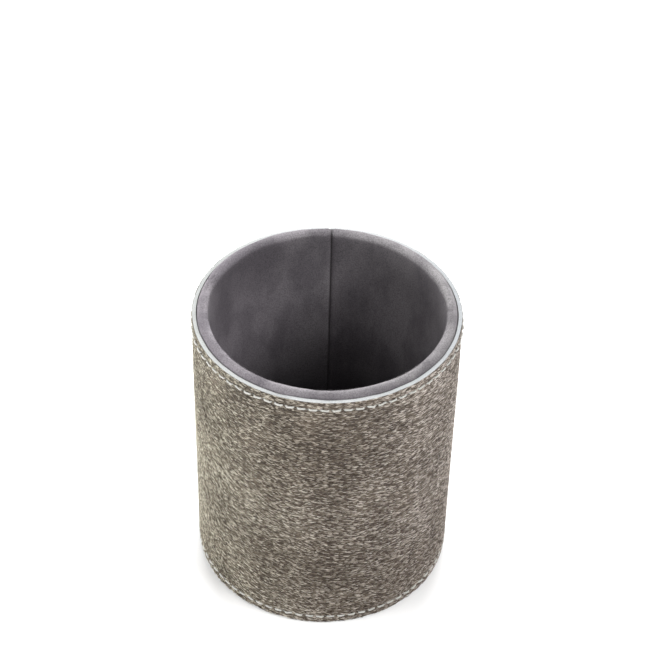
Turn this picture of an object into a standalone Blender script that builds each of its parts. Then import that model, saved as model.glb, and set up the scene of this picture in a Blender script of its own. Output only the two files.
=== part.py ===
"""Leather dice cup: a board tube lined with suede and wrapped in a stitched hair-on hide sleeve.

Units are metres and +Z is up. The origin is the centre of the underside, where the cup stands.
The sleeve's seam and the lining's seam are on the +Y side.
"""

import math

import bmesh
import bpy
from mathutils import Vector

MM = 0.001

# Driving dimensions
SLEEVE_OUTER_RADIUS = 42.1 * MM
SLEEVE_HEIGHT = 100.0 * MM
HIDE_THICKNESS = 1.2 * MM
SUEDE_THICKNESS = 0.6 * MM
CLEARANCE = 0.3 * MM
STITCH_PITCH_COUNT = 76

# Radii of the wrapped layers, from the outside inwards
SLEEVE_INNER_RADIUS = SLEEVE_OUTER_RADIUS - HIDE_THICKNESS
CREVICE_WIDTH = 0.5 * MM
FLAP_OUTER_RADIUS = SLEEVE_INNER_RADIUS - CREVICE_WIDTH
FLAP_INNER_RADIUS = FLAP_OUTER_RADIUS - SUEDE_THICKNESS
TUBE_WALL = 1.4 * MM
TUBE_OUTER_RADIUS = FLAP_INNER_RADIUS - CLEARANCE
TUBE_INNER_RADIUS = TUBE_OUTER_RADIUS - TUBE_WALL
LINING_OUTER_RADIUS = TUBE_INNER_RADIUS - CLEARANCE
LINING_INNER_RADIUS = LINING_OUTER_RADIUS - SUEDE_THICKNESS
FILLER_INNER_RADIUS = FLAP_INNER_RADIUS
FILLER_OUTER_RADIUS = SLEEVE_INNER_RADIUS - CLEARANCE

# Rim: the tube, the inside and the outside of the suede fold are arcs about one centre line
RIM_CENTRE_RADIUS = (TUBE_INNER_RADIUS + TUBE_OUTER_RADIUS) / 2
RIM_CENTRE_DROP = 0.4 * MM
FLAP_DEPTH = 11.0 * MM
RIM_CENTRE_Z = SLEEVE_HEIGHT - RIM_CENTRE_DROP
FLAP_BOTTOM_Z = RIM_CENTRE_Z - FLAP_DEPTH

# Heights of the flat layers, from the underside upwards
COVER_THICKNESS = 1.2 * MM
SLEEVE_BOTTOM_Z = CLEARANCE
TUBE_BOTTOM_Z = COVER_THICKNESS + CLEARANCE
BASE_BOARD_THICKNESS = 2.5 * MM
BASE_BOARD_TOP_Z = TUBE_BOTTOM_Z + BASE_BOARD_THICKNESS
LINING_BOTTOM_Z = BASE_BOARD_TOP_Z + CLEARANCE
FLOOR_BOARD_THICKNESS = 1.5 * MM
FLOOR_BOARD_BOTTOM_Z = LINING_BOTTOM_Z + SUEDE_THICKNESS + CLEARANCE
FLOOR_BOARD_TOP_Z = FLOOR_BOARD_BOTTOM_Z + FLOOR_BOARD_THICKNESS
FLOOR_TOP_Z = FLOOR_BOARD_TOP_Z + CLEARANCE + SUEDE_THICKNESS
FLOOR_TURN_IN = 7.0 * MM
FLOOR_EDGE_ROUND = 0.36 * MM
BOARD_BEVEL = 0.2 * MM
COVER_BEVEL = 0.3 * MM

# Seams
SLEEVE_SEAM_ANGLE = math.radians(90.0)
LINING_SEAM_ANGLE = math.radians(88.8)
SEAM_GAP = 0.3 * MM

# Stitching: a needle thread outside, which dips through each hole, and a lock thread inside
STITCH_MARGIN = 3.0 * MM
TOP_STITCH_Z = SLEEVE_HEIGHT - STITCH_MARGIN
BOTTOM_STITCH_Z = SLEEVE_BOTTOM_Z + STITCH_MARGIN
HOLE_LENGTH = 1.2 * MM
HOLE_HEIGHT = 0.7 * MM
NEEDLE_THREAD_RADIUS = 0.28 * MM
NEEDLE_THREAD_PINCHED_RADIUS = 0.2 * MM
NEEDLE_LINE_OUTER = SLEEVE_OUTER_RADIUS + 0.38 * MM
NEEDLE_LINE_DIP = SLEEVE_INNER_RADIUS + 0.3 * MM
NEEDLE_THREAD_SHOULDER = 0.3 * MM
LOCK_THREAD_RADIUS = 0.15 * MM
LOCK_LINE = (FLAP_OUTER_RADIUS + SLEEVE_INNER_RADIUS) / 2

# The filler wrap stops short of the bottom stitches and of the turned-down suede
FILLER_BOTTOM_Z = BOTTOM_STITCH_Z + 1.7 * MM
FILLER_TOP_Z = FLAP_BOTTOM_Z - CLEARANCE

# Fineness of the meshes
TURNED_SIDES = 64
FILLER_SIDES = 48
LINING_SIDES = 60
RIM_ARC_STEPS = 6
TUBE_ARC_STEPS = 4
NEEDLE_THREAD_SIDES = 6
LOCK_THREAD_SIDES = 4

MERGE_DISTANCE = 0.001 * MM
SHARP_EDGE_ANGLE = math.radians(35.0)


def clear_scene():
    for scene_object in list(bpy.data.objects):
        bpy.data.objects.remove(scene_object, do_unlink=True)


def make_material(name, colour, roughness):
    material = bpy.data.materials.new(name)
    material.use_nodes = True
    shader = material.node_tree.nodes["Principled BSDF"]
    shader.inputs["Base Color"].default_value = (*colour, 1.0)
    shader.inputs["Roughness"].default_value = roughness
    shader.inputs["Metallic"].default_value = 0.0
    material.diffuse_color = (*colour, 1.0)
    return material


def finish_object(name, mesh_edit, material):
    """Turns a bmesh into a named object with outward faces, smooth round sides and one material."""
    bmesh.ops.recalc_face_normals(mesh_edit, faces=mesh_edit.faces)
    mesh = bpy.data.meshes.new(name)
    mesh_edit.to_mesh(mesh)
    mesh_edit.free()
    mesh.materials.append(material)
    mesh.shade_smooth()
    mesh.set_sharp_from_angle(angle=SHARP_EDGE_ANGLE)
    part = bpy.data.objects.new(name, mesh)
    bpy.context.collection.objects.link(part)
    return part


def polar(radius, angle, height):
    return Vector((radius * math.cos(angle), radius * math.sin(angle), height))


def arc_points(radius, start_angle, end_angle, steps):
    """Points (r, z) of an arc about the rim's centre line, angles measured from outwards (+r)."""
    points = []
    for step in range(steps + 1):
        angle = start_angle + (end_angle - start_angle) * step / steps
        points.append((RIM_CENTRE_RADIUS + radius * math.cos(angle), RIM_CENTRE_Z + radius * math.sin(angle)))
    return points


def turned_solid(name, profile, sides, material):
    """Spins a closed or axis-to-axis profile of (r, z) points all the way round Z."""
    mesh_edit = bmesh.new()
    vertices = [mesh_edit.verts.new((radius, 0.0, height)) for radius, height in profile]
    edges = [mesh_edit.edges.new(pair) for pair in zip(vertices, vertices[1:])]
    touches_axis = profile[0][0] == 0.0 and profile[-1][0] == 0.0
    if not touches_axis:
        edges.append(mesh_edit.edges.new((vertices[-1], vertices[0])))
    bmesh.ops.spin(mesh_edit, geom=vertices + edges, cent=(0, 0, 0), axis=(0, 0, 1),
                   angle=math.tau, steps=sides, use_merge=True)
    bmesh.ops.remove_doubles(mesh_edit, verts=mesh_edit.verts, dist=MERGE_DISTANCE)
    return finish_object(name, mesh_edit, material)


def wrapped_solid(name, profile, sides, seam_angle, material):
    """Spins a closed profile almost all the way round Z, and leaves the open butt seam."""
    middle_radius = sum(radius for radius, _ in profile) / len(profile)
    half_gap = SEAM_GAP / middle_radius / 2
    start_angle = seam_angle + half_gap
    mesh_edit = bmesh.new()
    vertices = [mesh_edit.verts.new(polar(radius, start_angle, height)) for radius, height in profile]
    start_face = mesh_edit.faces.new(vertices)
    bmesh.ops.spin(mesh_edit, geom=[start_face], cent=(0, 0, 0), axis=(0, 0, 1),
                   angle=math.tau - 2 * half_gap, steps=sides)
    return finish_object(name, mesh_edit, material)


def hole_angles():
    """The needle holes' angles. The seam lies halfway between the last hole and the first."""
    pitch = math.tau / STITCH_PITCH_COUNT
    return [SLEEVE_SEAM_ANGLE + pitch * (index + 0.5) for index in range(STITCH_PITCH_COUNT)]


def sleeve_columns():
    """Angles of the sleeve's mesh columns: its two seam edges and both edges of every hole."""
    half_gap = SEAM_GAP / SLEEVE_OUTER_RADIUS / 2
    half_hole = HOLE_LENGTH / SLEEVE_OUTER_RADIUS / 2
    columns = [SLEEVE_SEAM_ANGLE + half_gap]
    for angle in hole_angles():
        columns.append(angle - half_hole)
        columns.append(angle + half_hole)
    columns.append(SLEEVE_SEAM_ANGLE + math.tau - half_gap)
    return columns


def make_hide_sleeve(material):
    """The sheet of hide round the cup, with a row of needle holes near each edge."""
    columns = sleeve_columns()
    rows = [SLEEVE_BOTTOM_Z,
            BOTTOM_STITCH_Z - HOLE_HEIGHT / 2,
            BOTTOM_STITCH_Z + HOLE_HEIGHT / 2,
            TOP_STITCH_Z - HOLE_HEIGHT / 2,
            TOP_STITCH_Z + HOLE_HEIGHT / 2,
            SLEEVE_HEIGHT]
    last_column = len(columns) - 1
    last_row = len(rows) - 1
    mesh_edit = bmesh.new()
    outer = [[mesh_edit.verts.new(polar(SLEEVE_OUTER_RADIUS, angle, z)) for z in rows] for angle in columns]
    inner = [[mesh_edit.verts.new(polar(SLEEVE_INNER_RADIUS, angle, z)) for z in rows] for angle in columns]

    def is_hole(column, row):
        """A hole fills every second cell of the two thin rows of cells."""
        inside = 0 <= column < last_column and 0 <= row < last_row
        return inside and column % 2 == 1 and row % 2 == 1

    def is_open(column, row):
        outside = not (0 <= column < last_column and 0 <= row < last_row)
        return outside or is_hole(column, row)

    for column in range(last_column):
        for row in range(last_row):
            if is_hole(column, row):
                continue
            for skin in (outer, inner):
                mesh_edit.faces.new((skin[column][row], skin[column + 1][row],
                                     skin[column + 1][row + 1], skin[column][row + 1]))
    for column in range(last_column + 1):
        for row in range(last_row):
            if is_open(column - 1, row) != is_open(column, row):
                mesh_edit.faces.new((outer[column][row], outer[column][row + 1],
                                     inner[column][row + 1], inner[column][row]))
    for column in range(last_column):
        for row in range(last_row + 1):
            if is_open(column, row - 1) != is_open(column, row):
                mesh_edit.faces.new((outer[column][row], outer[column + 1][row],
                                     inner[column + 1][row], inner[column][row]))
    return finish_object("hide_sleeve", mesh_edit, material)


def thread_solid(name, path, sides, material):
    """A thread along a path of (radius, angle, z, thread radius) points, closed at both ends."""
    mesh_edit = bmesh.new()
    centres = [polar(radius, angle, z) for radius, angle, z, _ in path]
    rings = []
    for index, (_, _, _, thread_radius) in enumerate(path):
        before = centres[max(index - 1, 0)]
        after = centres[min(index + 1, len(centres) - 1)]
        along = (after - before).normalized()
        up = Vector((0, 0, 1))
        across = along.cross(up).normalized()
        ring = []
        for side in range(sides):
            turn = math.tau * (side + 0.5) / sides
            offset = across * math.cos(turn) + up * math.sin(turn)
            ring.append(mesh_edit.verts.new(centres[index] + offset * thread_radius))
        rings.append(ring)
    for ring, next_ring in zip(rings, rings[1:]):
        for side in range(sides):
            next_side = (side + 1) % sides
            mesh_edit.faces.new((ring[side], ring[next_side], next_ring[next_side], next_ring[side]))
    mesh_edit.faces.new(rings[0])
    mesh_edit.faces.new(rings[-1])
    return finish_object(name, mesh_edit, material)


def make_needle_thread(name, row_z, material):
    """The stitches outside: each rises out of one hole, lies on the hide and dips into the next."""
    angles = hole_angles()
    shoulder = NEEDLE_THREAD_SHOULDER / SLEEVE_OUTER_RADIUS
    path = []
    for index, angle in enumerate(angles):
        if index > 0:
            path.append((NEEDLE_LINE_OUTER, angle - shoulder, row_z, NEEDLE_THREAD_RADIUS))
        path.append((NEEDLE_LINE_DIP, angle, row_z, NEEDLE_THREAD_PINCHED_RADIUS))
        if index < len(angles) - 1:
            path.append((NEEDLE_LINE_OUTER, angle + shoulder, row_z, NEEDLE_THREAD_RADIUS))
    return thread_solid(name, path, NEEDLE_THREAD_SIDES, material)


def make_lock_thread(name, row_z, material):
    """The lower thread, which lies flat against the flesh side behind the needle holes."""
    path = [(LOCK_LINE, angle, row_z, LOCK_THREAD_RADIUS) for angle in hole_angles()]
    return thread_solid(name, path, LOCK_THREAD_SIDES, material)


def make_core_tube(material):
    half_wall = TUBE_WALL / 2
    profile = [(TUBE_OUTER_RADIUS, TUBE_BOTTOM_Z)]
    profile += arc_points(half_wall, 0.0, math.pi, TUBE_ARC_STEPS)
    profile.append((TUBE_INNER_RADIUS, TUBE_BOTTOM_Z))
    return turned_solid("core_tube", profile, TURNED_SIDES, material)


def make_wall_lining(material):
    """The suede: up the inside wall, over the rim and down behind the hide's top edge."""
    fold_inside = TUBE_WALL / 2 + CLEARANCE
    fold_outside = fold_inside + SUEDE_THICKNESS
    profile = [(LINING_INNER_RADIUS, LINING_BOTTOM_Z)]
    profile += arc_points(fold_outside, math.pi, 0.0, RIM_ARC_STEPS)
    profile.append((FLAP_OUTER_RADIUS, FLAP_BOTTOM_Z))
    profile.append((FLAP_INNER_RADIUS, FLAP_BOTTOM_Z))
    profile += arc_points(fold_inside, 0.0, math.pi, RIM_ARC_STEPS)
    profile.append((LINING_OUTER_RADIUS, LINING_BOTTOM_Z))
    return wrapped_solid("wall_lining", profile, LINING_SIDES, LINING_SEAM_ANGLE, material)


def make_filler_wrap(material):
    """The strip of card that brings the tube level with the turned-over suede."""
    profile = [(FILLER_OUTER_RADIUS, FILLER_BOTTOM_Z),
               (FILLER_OUTER_RADIUS, FILLER_TOP_Z),
               (FILLER_INNER_RADIUS, FILLER_TOP_Z),
               (FILLER_INNER_RADIUS, FILLER_BOTTOM_Z)]
    return wrapped_solid("filler_wrap", profile, FILLER_SIDES, SLEEVE_SEAM_ANGLE, material)


def make_disc(name, radius, bottom_z, top_z, edge_bevel, material):
    profile = [(0.0, top_z),
               (radius - edge_bevel, top_z),
               (radius, top_z - edge_bevel),
               (radius, bottom_z + edge_bevel),
               (radius - edge_bevel, bottom_z),
               (0.0, bottom_z)]
    return turned_solid(name, profile, TURNED_SIDES, material)


def make_floor_lining(material):
    """The suede over the floor board, drawn over its edge and turned in under it."""
    outer_radius = LINING_INNER_RADIUS - CLEARANCE
    inner_radius = outer_radius - SUEDE_THICKNESS
    profile = [(0.0, FLOOR_TOP_Z),
               (outer_radius - FLOOR_EDGE_ROUND, FLOOR_TOP_Z),
               (outer_radius, FLOOR_TOP_Z - FLOOR_EDGE_ROUND),
               (outer_radius, LINING_BOTTOM_Z),
               (outer_radius - FLOOR_TURN_IN, LINING_BOTTOM_Z),
               (outer_radius - FLOOR_TURN_IN, LINING_BOTTOM_Z + SUEDE_THICKNESS),
               (inner_radius, LINING_BOTTOM_Z + SUEDE_THICKNESS),
               (inner_radius, FLOOR_TOP_Z - SUEDE_THICKNESS),
               (0.0, FLOOR_TOP_Z - SUEDE_THICKNESS)]
    return turned_solid("floor_lining", profile, TURNED_SIDES, material)


def make_base_board(material):
    radius = TUBE_INNER_RADIUS - CLEARANCE
    make_disc("base_board", radius, TUBE_BOTTOM_Z, BASE_BOARD_TOP_Z, BOARD_BEVEL, material)


def make_floor_board(material):
    """The board under the floor's suede, with room for the suede round its edge."""
    radius = LINING_INNER_RADIUS - SUEDE_THICKNESS - 2 * CLEARANCE
    make_disc("floor_board", radius, FLOOR_BOARD_BOTTOM_Z, FLOOR_BOARD_TOP_Z, BOARD_BEVEL, material)


def make_base_cover(material):
    """The leather disc under the cup, inside the sleeve's bottom edge."""
    make_disc("base_cover", SLEEVE_INNER_RADIUS - CLEARANCE, 0.0, COVER_THICKNESS, COVER_BEVEL, material)


def main():
    clear_scene()
    hide = make_material("hair_on_hide", (0.24, 0.21, 0.16), 0.85)
    thread = make_material("sewing_thread", (0.83, 0.80, 0.72), 0.6)
    suede = make_material("suede", (0.14, 0.125, 0.135), 0.95)
    board = make_material("grey_board", (0.36, 0.34, 0.31), 0.9)
    card = make_material("filler_card", (0.55, 0.50, 0.42), 0.9)
    base_leather = make_material("base_leather", (0.05, 0.045, 0.043), 0.8)

    make_core_tube(board)
    make_filler_wrap(card)
    make_wall_lining(suede)
    make_base_board(board)
    make_floor_board(board)
    make_floor_lining(suede)
    make_base_cover(base_leather)
    make_hide_sleeve(hide)
    make_needle_thread("top_needle_thread", TOP_STITCH_Z, thread)
    make_needle_thread("bottom_needle_thread", BOTTOM_STITCH_Z, thread)
    make_lock_thread("top_lock_thread", TOP_STITCH_Z, thread)
    make_lock_thread("bottom_lock_thread", BOTTOM_STITCH_Z, thread)


main()
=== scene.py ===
"""Visual model of the leather dice cup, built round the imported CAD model.

Everything is in metres in the CAD frame: +Z is up, the cup stands on z = 0, and both butt seams
are on the +Y side. Surfaces round the cup are worked out as (angle, height) and then wrapped.
"""
import math
from collections import namedtuple

import bpy
import numpy as np
from mathutils import Matrix, Vector


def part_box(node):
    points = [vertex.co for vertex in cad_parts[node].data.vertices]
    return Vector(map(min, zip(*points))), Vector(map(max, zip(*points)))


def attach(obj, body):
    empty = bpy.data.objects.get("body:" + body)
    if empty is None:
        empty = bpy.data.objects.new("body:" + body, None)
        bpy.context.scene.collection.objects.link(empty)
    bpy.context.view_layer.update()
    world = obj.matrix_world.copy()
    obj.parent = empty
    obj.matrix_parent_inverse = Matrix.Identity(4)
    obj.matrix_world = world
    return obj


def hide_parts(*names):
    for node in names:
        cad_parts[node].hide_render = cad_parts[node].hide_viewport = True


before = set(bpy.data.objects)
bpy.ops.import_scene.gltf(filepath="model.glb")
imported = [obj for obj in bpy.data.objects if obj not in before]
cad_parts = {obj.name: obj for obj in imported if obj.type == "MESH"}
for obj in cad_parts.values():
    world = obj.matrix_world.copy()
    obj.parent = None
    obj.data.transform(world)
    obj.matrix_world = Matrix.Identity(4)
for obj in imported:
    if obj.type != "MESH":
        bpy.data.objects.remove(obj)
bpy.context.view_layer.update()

MM = 0.001
BODY = "root"

# Sheet thicknesses and seams, as the CAD model has them
HIDE_THICKNESS = 1.2 * MM
SUEDE_THICKNESS = 0.6 * MM
RIM_WIDTH = 3.2 * MM
FLAP_DEPTH = 11.0 * MM
FLOOR_TURN_IN = 7.0 * MM
HIDE_SEAM_GAP = 0.2 * MM
LINING_SEAM_GAP = 0.04 * MM
HIDE_SEAM_ANGLE = math.radians(90.0)
LINING_SEAM_ANGLE = math.radians(88.8)
STITCH_PITCH_COUNT = 76
HOLE_LENGTH = 1.2 * MM
HOLE_HEIGHT = 0.7 * MM
CUT_BEVEL = 0.22 * MM

# Places that come from the frame
HIDE_LOW, HIDE_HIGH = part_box("hide_sleeve")
HIDE_RADIUS = HIDE_HIGH[0]
HIDE_INNER_RADIUS = HIDE_RADIUS - HIDE_THICKNESS
HIDE_BOTTOM_Z = HIDE_LOW[2]
HIDE_TOP_Z = HIDE_HIGH[2]
LINING_LOW, LINING_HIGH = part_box("wall_lining")
FLAP_RADIUS = LINING_HIGH[0]
RIM_TOP_Z = LINING_HIGH[2]
LINING_BOTTOM_Z = LINING_LOW[2]
RIM_CENTRE_RADIUS = FLAP_RADIUS - RIM_WIDTH / 2
RIM_CENTRE_Z = RIM_TOP_Z - RIM_WIDTH / 2
LINING_RADIUS = FLAP_RADIUS - RIM_WIDTH
FLOOR_LOW, FLOOR_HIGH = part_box("floor_lining")
COVER_LOW, COVER_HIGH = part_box("base_cover")


def row_height(node):
    low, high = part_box(node)
    return (low[2] + high[2]) / 2


TOP_ROW_Z = row_height("top_needle_thread")
BOTTOM_ROW_Z = row_height("bottom_needle_thread")

# Height where the suede's turned-down flap ends, outside the wall
FLAP_BOTTOM_Z = RIM_CENTRE_Z - FLAP_DEPTH

# Camera: straight at the front, looking down about 41 degrees, with a long lens
CAMERA_PLACE = Vector((0.0, -0.4074, 0.4476))
CAMERA_PITCH = math.radians(40.99)
CAMERA_YAW = math.radians(-0.088)
CAMERA_ROLL = math.radians(1.35)
CAMERA_VIEW_ANGLE = math.radians(21.38)


# -------- shapes

def wrapped(angle, z, radius):
    """Points at the given angles, heights and radii round the cup's axis."""
    angle, z, radius = np.broadcast_arrays(angle, z, radius)
    return np.stack([radius * np.cos(angle), radius * np.sin(angle), z], axis=-1)


# How widely a wave field's wavelengths vary round the one asked for, and the size of its waves
WAVE_SPREAD = 1.6
WAVE_HEIGHT = 1.4


def wave_field(seed, around, up, terms=16):
    """A smooth random function of (angle, height), about -1 to 1. around and up are wavelengths."""
    random = np.random.default_rng(seed)
    turns = math.tau * HIDE_RADIUS / around
    waves_around = np.round(random.normal(0.0, turns / WAVE_SPREAD, terms))
    waves_up = random.normal(0.0, math.tau / up / WAVE_SPREAD, terms)
    phase = random.uniform(0.0, math.tau, terms)
    weight = random.uniform(0.6, 1.0, terms)
    weight *= WAVE_HEIGHT / math.sqrt(float((weight ** 2).sum()))

    def field(angle, z):
        angle, z = np.broadcast_arrays(angle, z)
        total = np.zeros(angle.shape)
        for per_turn, per_metre, shift, size in zip(waves_around, waves_up, phase, weight):
            total += size * np.sin(per_turn * angle + per_metre * z + shift)
        return total

    return field


def new_mesh_object(name, points, faces, materials, face_slots=None):
    mesh = bpy.data.meshes.new(name)
    mesh.from_pydata(np.asarray(points, float).reshape(-1, 3).tolist(), [], faces)
    for material in materials:
        mesh.materials.append(material)
    if face_slots is not None:
        mesh.polygons.foreach_set("material_index", np.asarray(face_slots, np.int32))
    mesh.shade_smooth()
    mesh.update()
    piece = bpy.data.objects.new(name, mesh)
    bpy.context.collection.objects.link(piece)
    return piece


def store_values(piece, name, values):
    """Keeps one number for each point of a piece, for its material to read."""
    layer = piece.data.attributes.new(name, "FLOAT", "POINT")
    layer.data.foreach_set("value", np.asarray(values, np.float32).reshape(-1))


def grid_faces(columns, rows, closed_rows):
    """Quads of a (columns, rows) grid of points. With closed_rows the last row joins the first."""
    row_steps = rows if closed_rows else rows - 1
    column, row = np.meshgrid(np.arange(columns - 1), np.arange(row_steps), indexing="ij")
    next_row = (row + 1) % rows
    quads = np.stack([column * rows + row, (column + 1) * rows + row,
                      (column + 1) * rows + next_row, column * rows + next_row], axis=-1)
    return quads.reshape(-1, 4)


def seam_distance(angle, seam_angle, radius):
    """How far round the surface an angle is from the seam."""
    turn = np.mod(angle - seam_angle + math.pi, math.tau) - math.pi
    return np.abs(turn) * radius


def spaced(start, end, spacing):
    return np.linspace(start, end, max(2, int(round(abs(end - start) / spacing)) + 1))


# -------- materials

def new_material(name, roughness, specular):
    """A Principled material. Returns the material, its node tree and its shader."""
    material = bpy.data.materials.new(name)
    material.use_nodes = True
    shader = material.node_tree.nodes["Principled BSDF"]
    shader.inputs["Roughness"].default_value = roughness
    shader.inputs["Specular IOR Level"].default_value = specular
    return material, material.node_tree, shader


def object_place(tree):
    return tree.nodes.new("ShaderNodeTexCoord").outputs["Object"]


def object_noise(tree, scale, detail=2.0, squeeze=(1.0, 1.0, 1.0)):
    """A noise in object space, with scale in cells per metre, squeezed along X, Y and Z."""
    mapping = tree.nodes.new("ShaderNodeMapping")
    mapping.inputs["Scale"].default_value = squeeze
    noise = tree.nodes.new("ShaderNodeTexNoise")
    noise.inputs["Scale"].default_value = scale
    noise.inputs["Detail"].default_value = detail
    tree.links.new(object_place(tree), mapping.inputs["Vector"])
    tree.links.new(mapping.outputs["Vector"], noise.inputs["Vector"])
    return noise.outputs["Fac"]


def colour_ramp(tree, value, stops):
    """A colour ramp over (position, (r, g, b)) stops, driven by value. Returns its colour socket."""
    ramp = tree.nodes.new("ShaderNodeValToRGB")
    elements = ramp.color_ramp.elements
    while len(elements) < len(stops):
        elements.new(0.5)
    for element, (position, colour) in zip(elements, stops):
        element.position = position
        element.color = (*colour, 1.0)
    tree.links.new(value, ramp.inputs["Fac"])
    return ramp.outputs["Color"]


# A Mix node's colour sockets share their names with others, so they go by number
MIX_INPUTS = (0, 6, 7)
MIX_RESULT = 2


def mixed_colour(tree, kind, factor, first, second):
    """Mixes two colour sockets or plain colours. factor is a socket or a number."""
    mix = tree.nodes.new("ShaderNodeMix")
    mix.data_type = "RGBA"
    mix.blend_type = kind
    for value, number in zip((factor, first, second), MIX_INPUTS):
        target = mix.inputs[number]
        if hasattr(value, "is_output"):
            tree.links.new(value, target)
        elif isinstance(value, tuple):
            target.default_value = (*value, 1.0)
        else:
            target.default_value = value
    return mix.outputs[MIX_RESULT]


def multiplied(tree, first, second):
    return mixed_colour(tree, "MULTIPLY", 1.0, first, second)


def colour_and_bump(tree, shader, colour, height, strength, distance):
    bump = tree.nodes.new("ShaderNodeBump")
    bump.inputs["Strength"].default_value = strength
    bump.inputs["Distance"].default_value = distance
    tree.links.new(colour, shader.inputs["Base Color"])
    tree.links.new(height, bump.inputs["Height"])
    tree.links.new(bump.outputs["Normal"], shader.inputs["Normal"])


def attribute(tree, name):
    """A socket with the values that store_values kept."""
    node = tree.nodes.new("ShaderNodeAttribute")
    node.attribute_name = name
    return node.outputs["Fac"]


def along_axis(tree, axis, low, high):
    """A socket that runs from 0 to 1 between two places along an object-space axis, X, Y or Z."""
    axes = tree.nodes.new("ShaderNodeSeparateXYZ")
    span = tree.nodes.new("ShaderNodeMapRange")
    span.inputs["From Min"].default_value = low
    span.inputs["From Max"].default_value = high
    tree.links.new(object_place(tree), axes.inputs["Vector"])
    tree.links.new(axes.outputs[axis], span.inputs["Value"])
    return span.outputs["Result"]


def grey(level):
    return (level, level, level)


# From the darkest hairs, shade 0, to the palest, shade 1
HAIR_COLOURS = [(0.00, (0.040, 0.030, 0.022)),
                (0.25, (0.093, 0.076, 0.058)),
                (0.50, (0.225, 0.197, 0.157)),
                (0.75, (0.405, 0.369, 0.305)),
                (1.00, (0.620, 0.585, 0.507))]


def hair_material():
    """Each hair carries its own shade. The coat drifts from olive on its left to rosy on its right."""
    material, tree, shader = new_material("hair", roughness=0.62, specular=0.3)
    colour = colour_ramp(tree, attribute(tree, "shade"), HAIR_COLOURS)
    patches = colour_ramp(tree, object_noise(tree, scale=45.0), [(0.35, grey(0.88)), (0.65, grey(1.0))])
    drift = colour_ramp(tree, along_axis(tree, "X", -HIDE_RADIUS, HIDE_RADIUS),
                        [(0.1, (1.0, 1.0, 0.93)), (0.5, (1.0, 0.965, 0.97)), (0.9, (1.0, 0.955, 1.0))])
    patchy = multiplied(tree, colour, patches)
    tree.links.new(multiplied(tree, patchy, drift), shader.inputs["Base Color"])
    return material


def hide_skin_material():
    """The hair side between the hairs: short dark underfur."""
    material, tree, shader = new_material("hide_hair_side", roughness=0.9, specular=0.2)
    grain = object_noise(tree, scale=900.0, detail=3.0, squeeze=(1.0, 1.0, 2.5))
    colour = colour_ramp(tree, grain, [(0.30, (0.060, 0.046, 0.035)),
                                       (0.55, (0.130, 0.106, 0.082)),
                                       (0.75, (0.260, 0.225, 0.180))])
    colour_and_bump(tree, shader, colour, grain, strength=0.6, distance=0.2 * MM)
    return material


def cut_edge_material():
    """The raw cut edge of the hide: white, faintly blue, with fine fibres, and greyer at the sides as
    painted shade.
    """
    material, tree, shader = new_material("hide_cut_edge", roughness=0.85, specular=0.25)
    fibres = object_noise(tree, scale=2600.0, detail=3.0)
    colour = colour_ramp(tree, fibres, [(0.25, (0.41, 0.425, 0.43)), (0.6, (0.55, 0.565, 0.565))])
    # Painted shade: greyer towards the left and right sides than at the front and back
    drift = colour_ramp(tree, along_axis(tree, "X", -HIDE_RADIUS, HIDE_RADIUS),
                        [(0.0, (0.78, 0.78, 0.76)), (0.4, grey(1.0)), (0.6, grey(1.0)),
                         (1.0, (0.70, 0.71, 0.73))])
    drifted = multiplied(tree, colour, drift)
    colour_and_bump(tree, shader, drifted, fibres, strength=0.5, distance=0.1 * MM)
    return material


def flesh_side_material():
    """The pale, fibrous inside of the hide."""
    material, tree, shader = new_material("hide_flesh_side", roughness=0.95, specular=0.2)
    nap = object_noise(tree, scale=700.0, detail=4.0)
    colour = colour_ramp(tree, nap, [(0.3, (0.52, 0.51, 0.48)), (0.7, (0.74, 0.73, 0.69))])
    colour_and_bump(tree, shader, colour, nap, strength=0.5, distance=0.2 * MM)
    return material


# The suede's colour is multiplied by these where it lies flat on the wall and where it is paler over
# the rim, as stretched suede with a painted highlight
INSIDE_TINT = (0.64, 0.64, 0.65)
RIM_TINT = (1.34, 1.39, 1.36)
SEAM_COLOUR = (0.024, 0.022, 0.023)

# Painted shade by height, from the floor, 0, to the top of the rim, 1: how bright the suede is, darker
# deep down and in a band just under the rim. The floor itself and the roll over the rim keep their full
# tone.
DEPTH_TONES = [(0.0, grey(1.0)), (0.01, grey(0.45)), (0.25, grey(0.45)), (0.55, grey(1.0)),
               (0.78, grey(1.0)), (0.96, grey(0.80)), (0.985, grey(1.0))]


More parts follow.
